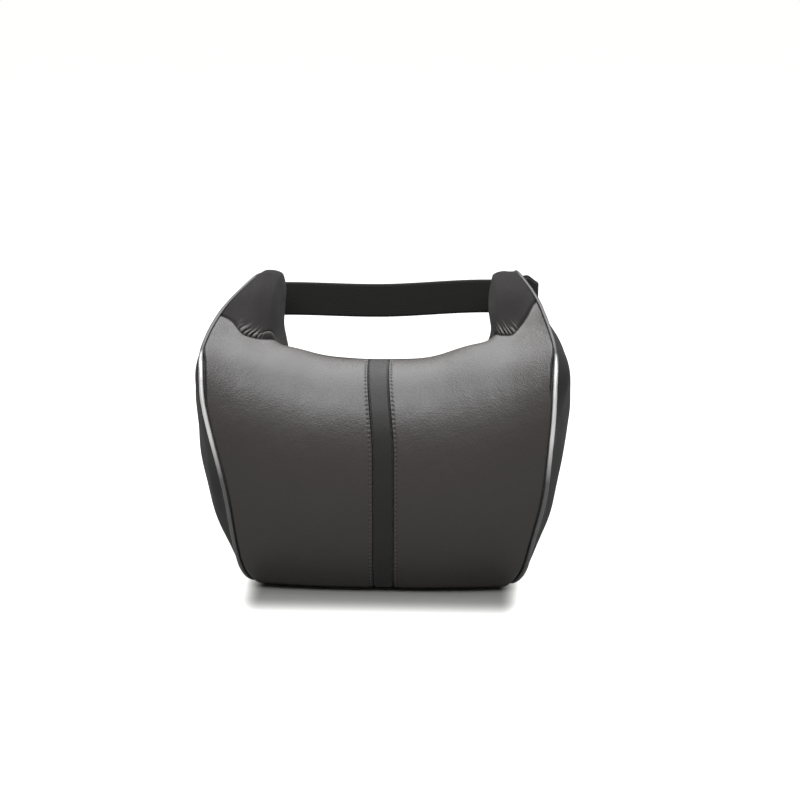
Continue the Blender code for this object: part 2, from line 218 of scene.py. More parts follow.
def rise(value, start, end):
    """Ease from 0 at the start to 1 at the end, which may lie below it."""
    return smooth((value - start) / (end - start))


def closed_curve(points, station):
    """A smooth closed curve through the points, read at the stations."""
    count = len(points)
    first = np.floor(station).astype(int) % count
    part = (station - np.floor(station))[..., None]
    before, start = points[(first - 1) % count], points[first]
    end, after = points[(first + 1) % count], points[(first + 2) % count]
    return 0.5 * (2 * start + (end - before) * part
                  + (2 * before - 5 * start + 4 * end - after) * part ** 2
                  + (3 * start - before - 3 * end + after) * part ** 3)


def outline_table():
    """Shares and zones at even steps round the outline, smoothed."""
    station = np.arange(TABLE_STEPS) * STATION_COUNT / TABLE_STEPS
    shares = closed_curve(np.array([row[:5] for row in STATIONS]), station)
    first = np.floor(station).astype(int)
    ease = smooth(station - first)[:, None]
    flags = np.array([[row[5] == zone for zone in (BASE, FRONT, BACK)] for row in STATIONS], float)
    zones = flags[first] * (1 - ease) + flags[(first + 1) % STATION_COUNT] * ease
    table = np.concatenate([np.maximum(shares, [-1, 0, -1, 0, -1]), zones], axis=1)
    waves = np.fft.rfftfreq(TABLE_STEPS, STATION_COUNT / TABLE_STEPS)
    fade = np.exp(-2 * (math.pi * waves * TABLE_SMOOTHING) ** 2)[:, None]
    return np.fft.irfft(np.fft.rfft(table, axis=0) * fade, TABLE_STEPS, axis=0)


OUTLINE = outline_table()


def read_outline(station):
    """The outline table's row at the stations."""
    place = np.mod(station, STATION_COUNT) * TABLE_STEPS / STATION_COUNT
    low = np.floor(place).astype(int)
    part = (place - low)[..., None]
    low = low % TABLE_STEPS
    return OUTLINE[low] * (1 - part) + OUTLINE[(low + 1) % TABLE_STEPS] * part


def sections(station):
    """The centre section (y, z), the side section (x, y, z) and the zones at the stations."""
    row = read_outline(station)
    centre = row[..., :2] * [CENTRE_DEPTH, CENTRE_HEIGHT]
    lift = BASE_EDGE_LIFT + row[..., 3] * (ARM_HEIGHT - BASE_EDGE_LIFT)
    flare = BASE_HALF_WIDTH + row[..., 4] * (SHOULDER_HALF_WIDTH - BASE_HALF_WIDTH)
    return centre, np.stack([flare, row[..., 2] * ARM_DEPTH, lift], -1), row[..., 5:]


def body_point(station, across):
    """A point on the cover; across runs from -1 at the left piping to +1 at the right one."""
    station, across = np.broadcast_arrays(np.asarray(station, float), np.asarray(across, float))
    centre, side, zones = sections(station)
    reach = np.abs(across)
    arm = smooth((reach - ARM_SHARE + ARM_BLEND) / (2 * ARM_BLEND))
    blend = zones[..., FRONT] * reach ** 3 + zones[..., BACK] * arm
    base = zones[..., BASE]
    rise = blend + base * smooth((reach - BASE_FLAT) / (1.0 - BASE_FLAT))
    blend = blend + base * reach ** 2
    inner = ARM_GAP_HALF / ARM_SHARE
    x = across * (inner + (side[..., 0] - inner) * reach ** 4)
    y = centre[..., 0] + (side[..., 1] - centre[..., 0]) * blend
    z = centre[..., 1] + (side[..., 2] - centre[..., 1]) * rise
    return np.stack([x, y, z], -1)


def dome_point(station, ring):
    """A point on the right side panel; ring runs from 1 at the piping to 0 at its middle."""
    station, ring = np.broadcast_arrays(np.asarray(station, float), np.asarray(ring, float))
    side = sections(station)[1]
    middle = np.array([DOME_CENTRE[0] * ARM_DEPTH, DOME_CENTRE[1] * ARM_HEIGHT])
    flat = side[..., 2] / ARM_HEIGHT
    fall = ring ** 2 * (1 + flat * (1 - ring))
    x = SIDE_HALF_WIDTH + (side[..., 0] - SIDE_HALF_WIDTH) * fall
    y = middle[0] + (side[..., 1] - middle[0]) * ring
    z = middle[1] + (side[..., 2] - middle[1]) * ring
    return np.stack([x, y, z], -1)


def normals(surface, first, second):
    """Outward unit normals of a surface at its two parameters."""
    along = surface(first + STATION_STEP, second) - surface(first - STATION_STEP, second)
    over = surface(first, second + ACROSS_STEP) - surface(first, second - ACROSS_STEP)
    normal = np.cross(over, along)
    return normal / np.linalg.norm(normal, axis=-1, keepdims=True)


def station_speed(station, across):
    """Millimetres along the outline for each station."""
    ahead = body_point(station + STATION_STEP, across) - body_point(station - STATION_STEP, across)
    return np.linalg.norm(ahead, axis=-1) / (2 * STATION_STEP)


def rim_distance(surface, station, second):
    """How far points lie from the piping's line."""
    rim = surface(station, 1.0)
    along = surface(station + STATION_STEP, 1.0) - surface(station - STATION_STEP, 1.0)
    along = along / np.linalg.norm(along, axis=-1, keepdims=True)
    return np.linalg.norm(np.cross(surface(station, second) - rim, along), axis=-1)


def seam_table(seam):
    """The seam's stations at even steps across, with its corners softened."""
    fine = np.linspace(0.0, 1.0, SEAM_STEPS + 1)
    rough = np.interp(fine, *zip(*seam))
    window = round(3 * SEAM_SMOOTHING * SEAM_STEPS)
    reach = np.arange(-window, window + 1) / SEAM_STEPS
    weight = np.exp(-0.5 * (reach / SEAM_SMOOTHING) ** 2)
    padded = np.pad(rough, window, mode="edge")
    return fine, np.convolve(padded, weight / weight.sum(), mode="valid")


SEAM_TABLES = {-1: seam_table(SEAM_LEFT), 1: seam_table(SEAM_RIGHT)}


def seam_station(across):
    """The station of the seam between leather and knit; across is negative on the left."""
    reach = np.abs(across)
    return np.where(across < 0, np.interp(reach, *SEAM_TABLES[-1]), np.interp(reach, *SEAM_TABLES[1]))


def roll(distance, shape):
    """How far a panel sinks as it turns into a seam; shape is its depth and width."""
    return shape[0] * np.exp(-(distance / shape[1]) ** 2)


def piping_roll(distance, height):
    """How far a panel sinks beside the piping: not at the horns, where it closes over the cord."""
    return roll(distance, PIPING_ROLL) * (1.0 - rise(height, HORN_FOOT, HORN_NECK))


def lines(count, strength):
    """Shares from 0 to 1, closer together near both ends."""
    even = np.linspace(0.0, 1.0, count)
    return even - strength * np.sin(2 * math.pi * even) / (2 * math.pi)


def weighted_lines(low, high, count, weight):
    """Values from low to high, closer together where the weight is larger."""
    even = np.linspace(low, high, 4000)
    total = np.concatenate([[0.0], np.cumsum((weight(even[1:]) + weight(even[:-1])) / 2)])
    return np.interp(np.linspace(0.0, total[-1], count), total, even)


def waves(points, seed, count, shortest, longest):
    """A smooth random height between about -1 and 1 at the points."""
    random = np.random.default_rng(seed)
    total = np.zeros(points.shape[:-1])
    for _ in range(count):
        heading = random.normal(size=3)
        length = np.exp(random.uniform(math.log(shortest), math.log(longest)))
        heading = heading / np.linalg.norm(heading) * 2 * math.pi / length
        total += np.sin(points @ heading + random.uniform(0, 2 * math.pi))
    return total / math.sqrt(count)


# Distance from the front to the row frame's origin, read from the frame's own strap.
REAR = ARM_DEPTH + STRAP_STAND_OFF + STRAP_THICKNESS / 2
DEPTH_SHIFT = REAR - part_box("strap")[1].y / MM


def to_world(points):
    """Row-frame metres from millimetres measured back from the front."""
    return (np.asarray(points) - [0.0, DEPTH_SHIFT, 0.0]) * MM


def bell(value, middle, width):
    """A smooth bump of height 1."""
    return np.exp(-((value - middle) / width) ** 2)


def bumps(value, shapes):
    """A sum of smooth bumps of (size, middle, width)."""
    return sum(size * bell(value, middle, width) for size, middle, width in shapes)


def settled(points):
    """The body's points with the sewn cover's own unevenness, which differs a little by side."""
    x, y, z = np.moveaxis(np.array(points, float), -1, 0)
    right, reach = x > 0, np.abs(x)

    def by_side(value, table):
        """The bumps of each point's own side."""
        return np.where(right, bumps(value, table[1]), bumps(value, table[-1]))

    shift = STRIP_SHIFT * rise(z, 195.0, 115.0) - STRIP_RETURN * rise(z, 80.0, 0.0)
    lean = (shift + STRIP_START) * bell(x, 0.0, 55.0)
    high = rise(z, HORN_NECK, 222.0)
    foot = by_side(z, FOOT_BUMPS) - np.where(right, HORN_PINCH[1], HORN_PINCH[-1]) * high
    inner = foot * bell(reach, 81.0, 10.0) * rise(y, 55.0, 75.0)
    rim = by_side(z, RIM_BUMPS) * rise(reach, 98.0, 118.0)
    waist = by_side(z, WAIST_BUMPS) * rise(reach, 88.0, 104.0)
    full = by_side(reach, CREST_BUMPS) * (rise(z, 120.0, 170.0) * bell(y, 70.0, 50.0))
    tilt = np.where(right, HORN_TILT[1], HORN_TILT[-1]) * rise(reach, 97.0, 105.0)
    horn = high * (by_side(reach, HORN_BUMPS) + tilt - HORN_EDGE_DROP * bell(reach, 83.0, 4.0))
    across = x + lean + np.sign(x) * (inner + (rim + waist))
    return np.stack([across, y, z + full * (1.0 - high) + horn], -1)


def make_piece(name, vertices, faces, material, node=None, slot=None, place=None):
    """A shaded mesh piece on the pillow's body, which may stand for a CAD node."""
    name = name + "_look" if node else name
    mesh = bpy.data.meshes.new(name)
    mesh.from_pydata(to_world(vertices).tolist(), [], faces)
    mesh.materials.append(material)
    mesh.shade_smooth()
    if place is not None:
        attribute = mesh.attributes.new("cloth_place", "FLOAT_VECTOR", "POINT")
        attribute.data.foreach_set("vector", np.asarray(place, np.float32).ravel())
    piece = bpy.data.objects.new(name, mesh)
    bpy.context.scene.collection.objects.link(piece)
    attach(piece, "root")
    if node:
        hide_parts(node)
    return piece


def grid_faces(rows, columns, wrap_rows=False, flip=False, start=0):
    """Quads of a grid of points."""
    row = np.arange(rows if wrap_rows else rows - 1)[:, None]
    column = np.arange(columns - 1)[None, :]
    after = (row + 1) % rows
    quad = np.stack([row * columns + column, row * columns + column + 1,
                     after * columns + column + 1, after * columns + column], -1).reshape(-1, 4)
    return ((quad[:, ::-1] if flip else quad) + start).tolist()


def shell(name, outer, inner, material, mirror=False, place=None, **facts):
    """A panel with thickness from two grids of points, closed with a rim all round."""
    rows, columns = outer.shape[:2]
    layer = rows * columns
    vertices = np.concatenate([outer.reshape(-1, 3), inner.reshape(-1, 3)])
    faces = grid_faces(rows, columns, flip=not mirror)
    faces += grid_faces(rows, columns, flip=mirror, start=layer)
    rim = [(0, column) for column in range(columns)]
    rim += [(row, columns - 1) for row in range(1, rows)]
    rim += [(rows - 1, column) for column in range(columns - 2, -1, -1)]
    rim += [(row, 0) for row in range(rows - 2, 0, -1)]
    rim = [row * columns + column for row, column in rim]
    for here, there in zip(rim, rim[1:] + rim[:1]):
        quad = (here, there, there + layer, here + layer)
        faces.append(quad[::-1] if mirror else quad)
    if place is not None:
        place = np.concatenate([place.reshape(-1, 3)] * 2)
    return make_piece(name, vertices, faces, material, place=place, **facts)


def mirrored(points, side):
    """The points, on the left for side -1."""
    return points * np.array([side, 1.0, 1.0])


def panel_relief(points):
    """Slow undulation of stretched leather over foam."""
    slow = 0.22 * waves(points, seed=3, count=9, shortest=38.0, longest=110.0)
    return slow + 0.05 * waves(points, seed=4, count=12, shortest=9.0, longest=26.0)


def strip_edge():
    """The share across at the centre strip's edge."""
    return CENTRE_STRIP_WIDTH / 2 * ARM_SHARE / ARM_GAP_HALF


def arc_lengths(station, across):
    """Length along the outline from the first station to each other one, down each column."""
    points = body_point(station, across)
    steps = np.linalg.norm(np.diff(points, axis=0), axis=-1)
    return np.concatenate([np.zeros((1,) + steps.shape[1:]), np.cumsum(steps, axis=0)])


def front_panel(name, side, material):
    """A leather front panel that rolls into the piping, the crest seam and the strip's seam."""
    across = strip_edge() + (1.0 - strip_edge()) * lines(*FRONT_COLUMNS)
    crest = seam_station(across * side)
    station = BASE_SEAM_STATION + (crest - BASE_SEAM_STATION) * lines(*FRONT_ROWS)[:, None]
    across = np.broadcast_to(across, station.shape)
    points = body_point(station, across)
    normal = normals(body_point, station, across)
    speed = station_speed(station, across)
    to_strip = (across - strip_edge()) * ARM_GAP_HALF / ARM_SHARE
    length = arc_lengths(station, across)[:, :1]
    drop = (piping_roll(rim_distance(body_point, station, across), points[..., 2])
            + roll(to_strip, STRIP_ROLL)
            + roll((crest - station) * speed, CREST_ROLL)
            + roll((station - BASE_SEAM_STATION) * speed, BASE_ROLL))
    stitch_row = bell(to_strip, STITCH_OFFSET, PUCKER_WIDTH)
    drop = drop + stitch_row * PUCKER_DEPTH * (1.3 + np.cos(2 * math.pi * length / STITCH_PITCH))
    height = panel_relief(mirrored(points, side)) * smooth(to_strip / 12) - drop
    outer = points + normal * height[..., None]
    inner = outer - normal * COVER_THICKNESS
    return shell(name, settled(mirrored(outer, side)), settled(mirrored(inner, side)), material,
                 side < 0, node=name, slot="leather")


def centre_strip(material):
    """The smooth strip between the front panels."""
    share = np.linspace(-1.0, 1.0, 25)
    share = np.sign(share) * np.abs(share) ** 0.8
    across = share * strip_edge()
    crest = seam_station(across)
    station = BASE_SEAM_STATION + (crest - BASE_SEAM_STATION) * lines(300, 0.3)[:, None]
    across = np.broadcast_to(across, station.shape)
    points = body_point(station, across)
    normal = normals(body_point, station, across)
    to_edge = (1 - np.abs(share)) * CENTRE_STRIP_WIDTH / 2
    drop = (STRIP_SINK + roll(to_edge, STRIP_OWN_ROLL)
            + roll((crest - station) * station_speed(station, across), CREST_ROLL))
    drop = drop - 0.10 * waves(points, seed=6, count=8, shortest=14.0, longest=50.0)
    outer = points - normal * drop[..., None]
    inner = outer - normal * COVER_THICKNESS
    return shell("centre_strip", settled(outer), settled(inner), material, node="centre_strip",
                 slot="smooth_leather")


def stitch(path, normal):
    """Points of one stitch: a thread that rises out of its hole and dives into the next."""
    arch = np.sin(math.pi * np.linspace(0.0, 1.0, len(path)))
    along = np.gradient(path, axis=0)
    along = along / np.linalg.norm(along, axis=1, keepdims=True)
    over = np.cross(along, normal)
    middle = path + normal * (STITCH_ARCH * arch ** 0.6 - STITCH_DIVE)[:, None]
    radius = STITCH_RADIUS * np.clip(arch, 0.25, 1.0) ** 0.35
    turn = np.linspace(0, 2 * math.pi, STITCH_SIDES, endpoint=False)
    ring = (np.cos(turn)[None, :, None] * normal[:, None]
            + np.sin(turn)[None, :, None] * over[:, None])
    points = middle[:, None] + radius[:, None, None] * ring
    return points.reshape(-1, 3)


def topstitch(name, side, material):
    """The row of stitches beside the strip."""
    share = strip_edge() + STITCH_OFFSET * ARM_SHARE / ARM_GAP_HALF
    station = np.linspace(BASE_SEAM_STATION + 0.05, CREST_STATION - 0.03, 4000)
    edge = BASE_SEAM_STATION + (CREST_STATION - BASE_SEAM_STATION) * lines(*FRONT_ROWS)[:, None]
    offset = float(np.interp(station[0], edge[:, 0], arc_lengths(edge, np.array([strip_edge()]))[:, 0]))
    length = offset + arc_lengths(station[:, None], np.array([strip_edge()]))[:, 0]
    vertices, faces = [], []
    sides, steps = STITCH_SIDES, STITCH_STEPS
    for middle in np.arange(math.ceil(length[0] / STITCH_PITCH) + 0.5, length[-1] / STITCH_PITCH - 0.5):
        centre = middle * STITCH_PITCH
        place = np.linspace(centre - STITCH_LENGTH / 2, centre + STITCH_LENGTH / 2, steps)
        at = np.interp(place, length, station)
        path = body_point(at, share)
        points = stitch(path, normals(body_point, at, np.full(steps, share)))
        start = len(vertices) * steps * sides
        vertices.append(points)
        for step in range(steps - 1):
            for turn in range(sides):
                low, high = start + step * sides, start + (step + 1) * sides
                after = (turn + 1) % sides
                faces.append((low + turn, high + turn, high + after, low + after))
        faces.append(tuple(start + turn for turn in range(sides)))
        faces.append(tuple(start + (steps - 1) * sides + turn for turn in reversed(range(sides))))
    vertices = mirrored(np.concatenate(vertices), side)
    if side < 0:
        faces = [face[::-1] for face in faces]
    return make_piece(name, settled(vertices), faces, material)


def gathers(length, distance, seed):
    """Height of the knit's gathers, by length along the seam from its corner and distance from it."""
    random = np.random.default_rng(seed)
    window = np.exp(-(length / GATHER_SPREAD) ** 4)
    phase = (length + GATHER_SLANT * distance) / GATHER_PITCH
    phase = phase + 0.12 * np.sin(phase * 2.1 + random.uniform(0, 6))
    ridge = np.abs(np.cos(math.pi * phase)) ** 0.9
    reach = GATHER_REACH * (1 + 0.25 * np.sin(phase * 2.7 + seed))
    fade = np.exp(-(distance / reach) ** 2) * smooth(distance / 1.2)
    return GATHER_HEIGHT * window * fade * (ridge - 0.5)


def fold(length, distance):
    """Height of the crease that curls away from the left gathers towards the saddle."""
    middle = 3.0 + 4.5 * bell(length, 16.0, 8.0)
    across = (distance - middle) / 1.6
    return FOLD_HEIGHT * bell(length, 16.0, 9.0) * np.exp(-across ** 2) * (0.3 - 1.6 * across)


def knit_lines():
    """Lines across the knit, closer together where it is gathered and where the horns rise."""
    return weighted_lines(-1.0, 1.0, 247, lambda a: (
        0.7 + 4.0 * bell(np.abs(a), 0.80, 0.09) + 1.6 * bell(np.abs(a), 1.0, 0.03)))


def back_panel(material):
    """The knitted panel over the horns, the back and the base."""
    across = knit_lines()
    crest = seam_station(across)
    share = weighted_lines(0.0, 1.0, 195, lambda t: (
        1.0 + 7.0 * bell(t, 0.0, 0.03) + 2.0 * bell(t, 1.0, 0.02)))
    last = BASE_SEAM_STATION + STATION_COUNT
    station = crest + (last - crest) * share[:, None]
    across = np.broadcast_to(across, station.shape)
    points = body_point(station, across)
    normal = normals(body_point, station, across)
    speed = station_speed(station, across)
    distance = (station - crest) * speed
    seam_points = points[0]
    steps = np.linalg.norm(np.diff(seam_points, axis=0), axis=-1)
    seam_length = np.concatenate([[0.0], np.cumsum(steps)])
    corner = {side: np.interp(side * GATHER_ACROSS[side], across[0], seam_length) for side in (-1, 1)}
    right = gathers(seam_length - corner[1], distance, 5)
    left = gathers(corner[-1] - seam_length, distance, 9) + fold(seam_length - corner[-1], distance)
    drop = (piping_roll(rim_distance(body_point, station, np.abs(across)), points[..., 2])
            + roll(distance, KNIT_ROLL)
            + roll((last - station) * speed, BASE_ROLL))
    gathered = left + right
    height = gathered - drop + 0.25 * waves(points, seed=8, count=10, shortest=25.0, longest=80.0)
    outer = points + normal * height[..., None]
    outer[..., 2] = np.maximum(outer[..., 2], 0.0)
    inner = outer - normal * COVER_THICKNESS
    # The third value is the gathers' height, which the knit's colour uses for a painted highlight on
    # their ridges.
    place = np.stack([across * SHOULDER_HALF_WIDTH, arc_lengths(station, across), gathered], -1)
    return shell("back_panel", settled(outer), settled(inner), material, node="back_panel",
                 slot="knit", place=place)


def fullness(points, ring, side):
    """How much further out the stuffing pushes a side panel inside its ring of piping."""
    return bumps(points[..., 2], SIDE_BUMPS[side]) * rise(ring, 1.0, 0.72)


def side_panel(name, side, material):
    """A domed leather side panel inside its ring of piping."""
    count, columns = 360, 43
    station = np.linspace(0, STATION_COUNT, count, endpoint=False)[:, None]
    ring = np.broadcast_to((1 - lines(columns + 1, 0.6))[None, :-1], (count, columns))
    station = np.broadcast_to(station, ring.shape)
    points = dome_point(station, ring)
    normal = -normals(dome_point, station, ring)
    drop = piping_roll(rim_distance(dome_point, station, ring), points[..., 2])
    relief = 0.35 * waves(mirrored(points, side), seed=12, count=9, shortest=30.0, longest=90.0)
    outer = points + normal * (relief * rise(ring, 1.0, 0.9) - drop)[..., None]
    outer[..., 0] += fullness(points, ring, side)
    inner = outer - normal * COVER_THICKNESS
    peak = outer[:, -1].mean(0, keepdims=True)
    peak[0, 1:] = DOME_CENTRE[0] * ARM_DEPTH, DOME_CENTRE[1] * ARM_HEIGHT
    layer = count * columns + 1
    vertices = np.concatenate([outer.reshape(-1, 3), peak,
                               inner.reshape(-1, 3), peak - [[COVER_THICKNESS, 0, 0]]])
    flip = side > 0
    faces = grid_faces(count, columns, wrap_rows=True, flip=not flip)
    faces += grid_faces(count, columns, wrap_rows=True, flip=flip, start=layer)
    for row in range(count):
        after = (row + 1) % count
        tip = (row * columns + columns - 1, layer - 1, after * columns + columns - 1)
        edge = (after * columns, row * columns, row * columns + layer, after * columns + layer)
        under = tuple(index + layer for index in reversed(tip))
        for face in (tip, under, edge):
            faces.append(face if flip else face[::-1])
    return make_piece(name, settled(mirrored(vertices, side)), faces, material, node=name,
                      slot="leather")


def piping(name, side, material):
    """A ring of piping round a side panel, with the slight unevenness of a sewn cord."""
    count, sides = 640, 22
    station = np.linspace(0, STATION_COUNT, count, endpoint=False)
    path = sections(station)[1]
    along = np.roll(path, -1, axis=0) - np.roll(path, 1, axis=0)
    along = along / np.linalg.norm(along, axis=1, keepdims=True)
    outward = np.cross([1.0, 0.0, 0.0], along)
    outward = outward / np.linalg.norm(outward, axis=1, keepdims=True)
    sideways = np.cross(along, outward)
    uneven = waves(mirrored(path, side), seed=21, count=8, shortest=7.0, longest=20.0)
    radius = CORD_DIAMETER / 2 + 0.05 * uneven
    turn = np.linspace(0, 2 * math.pi, sides, endpoint=False)
    horn = rise(path[:, 2], HORN_FOOT, HORN_NECK)
    inward, down = PIPING_SINK[side]
    sink = down * horn + LOW_SINK * rise(path[:, 2], LOW_TOP, LOW_FOOT)
    path = path - outward * sink[:, None] - np.outer(inward * horn, [1.0, 0.0, 0.0])
    circle = (np.cos(turn)[None, :, None] * outward[:, None]
              + np.sin(turn)[None, :, None] * sideways[:, None])
    tube = path[:, None] + radius[:, None, None] * circle
    faces = []
    for step in range(count):
        here, after = step * sides, (step + 1) % count * sides
        for point in range(sides):
            beside = (point + 1) % sides
            quad = (here + point, after + point, after + beside, here + beside)
            faces.append(quad if side < 0 else quad[::-1])
    return make_piece(name, settled(mirrored(tube.reshape(-1, 3), side)), faces, material, node=name,
                      slot="vinyl")


def rear_edge(height):
    """The point of the piping's line at the arm's rear, at each height."""
    loop = sections(np.linspace(10.0, 12.5, 200))[1]
    order = np.argsort(loop[:, 2])
    x = np.interp(height, loop[order, 2], loop[order, 0])
    y = np.interp(height, loop[order, 2], loop[order, 1])
    return np.stack([x, y], -1)


def open_curve(points, samples):
    """A smooth open curve through the points."""
    points = np.concatenate([[2 * points[0] - points[1]], points, [2 * points[-1] - points[-2]]])
    stretches = len(points) - 3
    place = np.linspace(0, stretches, stretches * samples + 1)
    first = np.minimum(place.astype(int), stretches - 1)
    part = (place - first)[:, None]
    before, start, end, after = (points[first + offset] for offset in range(4))
    return 0.5 * (2 * start + (end - before) * part
                  + (2 * before - 5 * start + 4 * end - after) * part ** 2
                  + (3 * start - before - 3 * end + after) * part ** 3)


def strap_plan(height):
    """The right half of the strap seen from above, from its seam round its loop to the middle."""
    tucked = 0.5
    clear = PIPING_DIAMETER / 2 * math.sqrt(0.5) - tucked
    line = ARM_DEPTH + STRAP_STAND_OFF
    edge = rear_edge(STRAP_HEIGHT)[0]
    turn = np.radians([-50.0, -10.0, 30.0, 60.0, 90.0])
    bend = np.stack([edge + STRAP_LOOP - STRAP_BEND * (1 - np.cos(turn)),
                     line - STRAP_BEND * (1 - np.sin(turn))], -1)
    after = edge + STRAP_LOOP - 2 * STRAP_BEND
    run = np.array([[after, line], [ARM_GAP_HALF, line], [ARM_GAP_HALF / 2, line], [0.0, line]])
    return open_curve(np.concatenate([[rear_edge(height) + clear], bend, run]), 16)


def strap(material):
    """The elastic webbing that closes the pillow behind the headrest."""
    rows = 19
    outer, inner, place = [], [], []
    for share in np.linspace(0.0, 1.0, rows):
        plan = strap_plan(STRAP_HEIGHT + share * STRAP_WIDTH)
        plan = np.concatenate([plan, (plan[:-1] * [-1.0, 1.0])[::-1]])
        along = np.gradient(plan, axis=0)
        along = along / np.linalg.norm(along, axis=1, keepdims=True)
        edge = min(share, 1 - share) * STRAP_WIDTH
        half = STRAP_THICKNESS / 2 * math.sqrt(1 - (1 - min(edge / STRAP_EDGE_ROUND, 1.0)) ** 2 * 0.75)
        across = np.stack([along[:, 1], -along[:, 0]], -1) * half
        x, reach = plan[:, 0], np.abs(plan[:, 0])
        droop = STRAP_SAG * (1 - smooth(reach / ARM_GAP_HALF))
        lift = STRAP_TILT * x / ARM_GAP_HALF * bell(x, 0.0, STRAP_TILT_SPREAD)
        end = rise(reach, reach.max() - STRAP_CORNER_WIDTH, reach.max())
        corner = STRAP_CORNER_DROOP * (end * rise(share, 0.6, 1.0))
        curl = STRAP_CURL * np.sign(x) * rise(reach, STRAP_CURL_START, STRAP_CURL_END) - corner
        height = STRAP_HEIGHT + share * STRAP_WIDTH - droop + lift + curl
        outer.append(np.column_stack([plan + across, height]))
        inner.append(np.column_stack([plan - across, height]))
        run = np.concatenate([[0.0], np.cumsum(np.linalg.norm(np.diff(plan, axis=0), axis=1))])
        place.append(np.column_stack([run - run[-1] / 2, np.full(len(run), share * STRAP_WIDTH),
                                      np.zeros(len(run))]))
    return shell("strap", np.stack(outer), np.stack(inner), material, True,
                 node="strap", slot="webbing", place=np.stack(place))


def foam_core(material):
    """The moulded foam core: the body's form, set in by the cover's thickness and a little play."""
    station = np.linspace(0, STATION_COUNT, 220, endpoint=False)[:, None]
    across = np.linspace(-0.975, 0.975, 110)[None, :]
    ring = np.linspace(0.95, 0.04, 16)[None, :]
    body_normals = normals(body_point, *np.broadcast_arrays(station, across))
    body = body_point(station, across) - body_normals * CORE_INSET
    dome_normals = normals(dome_point, *np.broadcast_arrays(station, ring))
    right = dome_point(station, ring) + dome_normals * CORE_INSET
    sides = []
    for side in (-1, 1):
        full = fullness(right, ring, side)[..., None] * [1.0, 0.0, 0.0]
        sides.append(mirrored(right + full, side))
    left, right = sides[0][:, ::-1], sides[1]
    grid = np.concatenate([left, body, right], axis=1)
    grid[..., 2] = np.maximum(grid[..., 2], CORE_INSET)
    rows, columns = grid.shape[:2]
    poles = grid[:, [0, -1]].mean(axis=0)
    vertices = settled(np.concatenate([grid.reshape(-1, 3), poles]))
    left, right = rows * columns, rows * columns + 1
    faces = grid_faces(rows, columns, wrap_rows=True, flip=True)
    for row in range(rows):
        here, after = row * columns, (row + 1) % rows * columns
        faces.append((left, after, here))
        faces.append((after + columns - 1, right, here + columns - 1))
    core = make_piece("foam_core", vertices, faces, material, node="foam_core", slot="foam")


class Nodes:
    """A short way to write a material's nodes."""

    def __init__(self, name, colour, roughness):
        self.material = bpy.data.materials.new(name)
        self.material.use_nodes = True
        self.tree = self.material.node_tree
        self.shader = self.tree.nodes["Principled BSDF"]
        self.shader.inputs["Base Color"].default_value = (*colour, 1.0)
        self.shader.inputs["Roughness"].default_value = roughness

    def add(self, kind, **values):
        """A node with its settings and input values."""
        node = self.tree.nodes.new("ShaderNode" + kind)
        for key, value in values.items():
            if key in node.inputs:
                self.put(value, node.inputs[key])
            else:
                setattr(node, key, value)
        return node

    def put(self, value, socket):
        """A number, a colour or another node's output into a socket."""
        if isinstance(value, bpy.types.NodeSocket):
            self.tree.links.new(value, socket)
        else:
            socket.default_value = value

    def math(self, operation, first, second=0.0):
        """A math node's result."""
        node = self.tree.nodes.new("ShaderNodeMath")
        node.operation = operation
        self.put(first, node.inputs[0])
        self.put(second, node.inputs[1])
        return node.outputs[0]

    def ramp(self, value, low, high):
        """The value, from low at 0 to high at 1."""
        node = self.tree.nodes.new("ShaderNodeMapRange")
        node.inputs["To Min"].default_value = low
        node.inputs["To Max"].default_value = high
        self.put(value, node.inputs["Value"])
        return node.outputs[0]

    def mix(self, factor, first, second):
        """A colour between two."""
        node = self.tree.nodes.new("ShaderNodeMix")
        node.data_type = "RGBA"
        self.put(factor, node.inputs["Factor"])
        for colour, socket in ((first, node.inputs[6]), (second, node.inputs[7])):
            self.put((*colour, 1.0) if isinstance(colour, tuple) else colour, socket)
        return node.outputs[2]

    def place(self):
        """The point in the row frame."""
        return self.add("TexCoord").outputs["Object"]

    def noise(self, scale, detail=3.0, vector=None):
        """A noise between 0 and 1."""
        node = self.add("TexNoise", Scale=scale, Detail=detail)
        self.put(vector or self.place(), node.inputs["Vector"])
        return node.outputs["Fac"]

    def bump(self, height, distance, strength, below=None):
        """A bump of that height in metres, over another one."""
        node = self.add("Bump", Strength=strength, Distance=distance, Height=height)
        if below:
            self.put(below, node.inputs["Normal"])
        return node.outputs["Normal"]

    def finish(self, colour=None, roughness=None, normal=None, **sockets):
        """Join the results to the shader."""
        for name, value in (("Base Color", colour), ("Roughness", roughness), ("Normal", normal)):
            if value is not None:
                self.put(value, self.shader.inputs[name])
        for name, value in sockets.items():
            self.shader.inputs[name.replace("_", " ")].default_value = value
        return self.material


